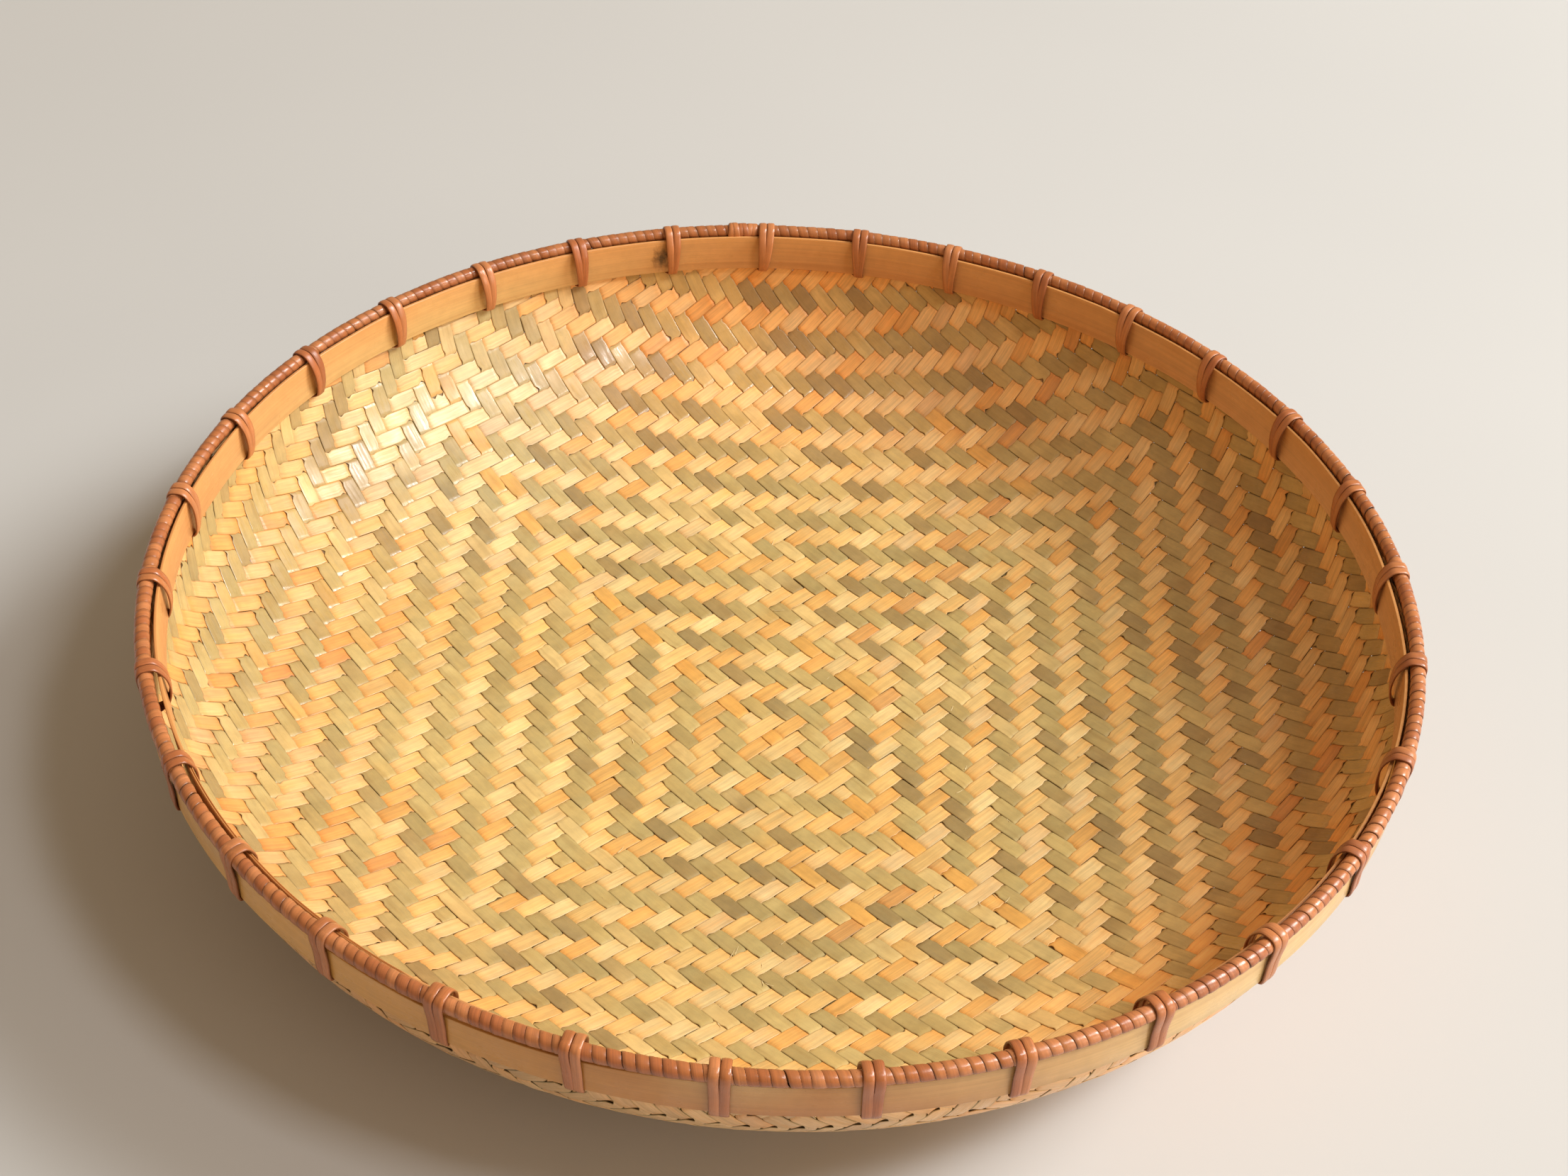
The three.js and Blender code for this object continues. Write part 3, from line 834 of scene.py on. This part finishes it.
def loop_sweep(body, path, lengths, azimuth, width, thickness, tone):
    """Sweeps a strand along a closed path of (along the rim, outwards, up) points at azimuth."""
    ahead = np.roll(path, -1, 0) - np.roll(path, 1, 0)
    ahead /= np.linalg.norm(ahead, axis=1)[:, None]
    side = np.array([1.0, 0, 0]) - ahead * ahead[:, :1]
    side /= np.linalg.norm(side, axis=1)[:, None]
    out = np.cross(side, ahead)
    middle = path[:, 1:].mean(0)
    facing = np.sign(((path[:, 1:] - middle) * out[:, 1:]).sum())
    out = out * facing
    across, up = STRAND_SECTION[:, 0] * width, STRAND_SECTION[:, 1] * thickness
    local = path[:, None, :] + side[:, None, :] * across[:, None] + out[:, None, :] * up[:, None]
    az = azimuth + np.degrees(local[..., 0] / RIM_RADIUS)
    rings = around(az, RIM_RADIUS + local[..., 1], BEAD_Z + local[..., 2])
    # Painted shade along the strand's edges.
    seam = 1 - 0.5 * ease((np.abs(STRAND_SECTION[:, 0]) - 0.42) / 0.08)
    tone = tone * seam[None, :, None] * BOUNCE
    grain = np.stack([np.broadcast_to(lengths[:, None], rings.shape[:2]) + azimuth * 20,
                      np.broadcast_to(across, rings.shape[:2]),
                      np.broadcast_to(up, rings.shape[:2])], -1)
    body.sweep(rings, tone, grain, closed=True)


def lashing(k):
    """Two strands side by side over the bead and both bands, drawn together inside, where they
    stand off the inner band and go through the mat by one hole."""
    azimuth = tie_azimuth(k)
    body = Body()
    width, thickness = 3.3, 0.85
    clear = BEAD_RADIUS + 0.05 + thickness / 2
    lean = rng.normal(0.9, 0.7)
    slant = rng.normal(-0.8, 0.5)
    bulge = rng.uniform(-0.5, 0.5)
    for sign in (-1, 1):
        top, hole = sign * (1.62 + rng.uniform(0, 0.1)), sign * 0.45
        outer = sign * (1.45 + rng.uniform(0, 0.1))
        lift = rng.uniform(0, 0.12)
        path, lengths = smooth_loop([
            (top, 0.0, clear + lift),
            (top * 1.05 + 0.1 * lean, -3.6, 2.5),
            (top * 0.95 + 0.3 * lean, -6.6 - bulge * 0.5, -2.5),
            (top * 0.6 + 0.5 * lean, -7.2 - bulge, -9.5),
            (hole + 0.8 * lean, -6.0, -15.6),
            (hole + lean, -4.1, -17.4),
            (outer * 0.85 + slant, 0.6, -17.6),
            (outer * 0.9 + slant, 1.95, -15.6),
            (outer + 0.5 * slant, clear - 0.85, -8.0),
            (top + 0.1 * slant, clear - 0.15, -0.8),
            (top, clear * 0.76, clear * 0.68 + lift),
        ], 52)
        tone = WRAP_TONES[rng.integers(0, len(WRAP_TONES))] * (1 + rng.normal(0, 0.05))
        loop_sweep(body, path, lengths, azimuth, width, thickness, tone)
    label = f"{k + 1:02d}"
    body.build(f"lashing_{label}", rattan_finish, "rattan", f"tie_{label}")


for k in range(TIE_COUNT):
    lashing(k)


# Each turn's place along the rim, its tilt in degrees and its radius.
KNOT_TURNS = ((-5.0, 7, 3.2), (-3.1, -9, 3.3), (-1.1, 6, 3.0), (0.9, -12, 3.05), (2.8, 8, 2.9),
              (4.7, 4, 2.85))


def wrapping_knot():
    """The wrapping strand's start and end: turns that cross over each other and the bead."""
    body = Body()
    width, thickness = 2.9, 0.8
    for shift, tilt, size in KNOT_TURNS:
        angle = np.linspace(0, 2 * math.pi, 40, endpoint=False)
        path = np.stack([shift + size * math.tan(math.radians(tilt)) * np.sin(angle + 0.6),
                         size * np.cos(angle), size * np.sin(angle)], 1)
        lengths = angle * size
        tone = WRAP_TONES[rng.integers(0, len(WRAP_TONES))]
        loop_sweep(body, path, lengths, KNOT_AZIMUTH, width, thickness, tone)
    body.build("wrapping_knot", rattan_finish, "rattan", "wrap_knot")


wrapping_knot()


def cane_core():
    """The core under the wrapping keeps its CAD shape and gets a plain cane material."""
    s = Shader("cane_core")
    place = s.node("ShaderNodeTexCoord").outputs["Object"]
    grain = s.noise(s.stretched(place, (400, 400, 2500)), 3.0, 0.6)
    s.plug(Base_Color=s.mixed(grain, (*linear(150, 100, 58), 1), (*linear(196, 150, 98), 1)),
           Roughness=0.7)
    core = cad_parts["rim_core"]
    core.data.materials.clear()
    core.data.materials.append(s.material)


cane_core()


# ---- stage, light and camera ---------------------------------------------------------------
def floor():
    """A wide plain table top."""
    mesh = bpy.data.meshes.new("floor")
    half = 20.0
    corners = [(-half, -half, 0), (half, -half, 0), (half, half, 0), (-half, half, 0)]
    mesh.from_pydata(corners, [], [(0, 1, 2, 3)])
    s = Shader("pale_floor")
    place = s.node("ShaderNodeTexCoord").outputs["Object"]
    cloud = s.noise(s.stretched(place, (3, 3, 3)), 2.0, 0.5)
    s.plug(Base_Color=s.mixed(cloud, (0.53, 0.53, 0.525, 1), (0.575, 0.575, 0.57, 1)), Roughness=0.85)
    mesh.materials.append(s.material)
    plane = bpy.data.objects.new("floor", mesh)
    bpy.context.scene.collection.objects.link(plane)


def area_light(name, azimuth, elevation, distance, size, power, colour):
    """A soft square light aimed at the basket's middle, at a compass angle and an elevation."""
    data = bpy.data.lights.new(name, "AREA")
    data.shape = "SQUARE"
    data.size = size
    data.energy = power
    data.color = colour
    lamp = bpy.data.objects.new(name, data)
    a, e = math.radians(azimuth), math.radians(elevation)
    away = Vector((math.sin(a) * math.cos(e), math.cos(a) * math.cos(e), math.sin(e)))
    lamp.location = away * distance
    lamp.rotation_euler = away.to_track_quat("Z", "Y").to_euler()
    bpy.context.scene.collection.objects.link(lamp)


floor()
# Compass angle, elevation, distance in metres, size in metres, watts and colour.
area_light("key", 80, 40, 4.0, 1.5, 174, (0.97, 1.0, 1.0))
area_light("glint", 118, 57, 3.0, 0.5, 24, (1.0, 1.0, 1.0))
area_light("fill", 116, 13, 3.6, 2.0, 36, (1.0, 0.90, 0.78))

world = bpy.data.worlds.new("studio")
world.use_nodes = True
world.node_tree.nodes["Background"].inputs["Color"].default_value = (1.0, 0.74, 0.47, 1)
world.node_tree.nodes["Background"].inputs["Strength"].default_value = 0.39
bpy.context.scene.world = world
bpy.context.scene.view_settings.view_transform = "Standard"

CAMERA_BACK, CAMERA_UP = 614.0, 521.7       # from the basket's axis, and over the bead's middle
CAMERA_DOWN, CAMERA_ROLL = 40.92, 3.5       # degrees


def camera():
    """The photo's view of the basket."""
    pitch, roll = math.radians(CAMERA_DOWN), math.radians(CAMERA_ROLL)
    right = Vector((1, 0, 0))
    forward = Vector((0, math.cos(pitch), -math.sin(pitch)))
    up = right.cross(forward)
    rolled_right = right * math.cos(roll) + up * math.sin(roll)
    rolled_up = up * math.cos(roll) - right * math.sin(roll)
    lens = bpy.data.cameras.new("camera")
    lens.lens = 51.34
    lens.sensor_width = 36.0
    made = bpy.data.objects.new("camera", lens)
    axes = Matrix((rolled_right, rolled_up, -forward)).transposed().to_4x4()
    place = Vector((0, -CAMERA_BACK, BEAD_Z + CAMERA_UP)) * MM
    made.matrix_world = Matrix.Translation(place) @ axes
    bpy.context.scene.collection.objects.link(made)
    bpy.context.scene.camera = made


camera()
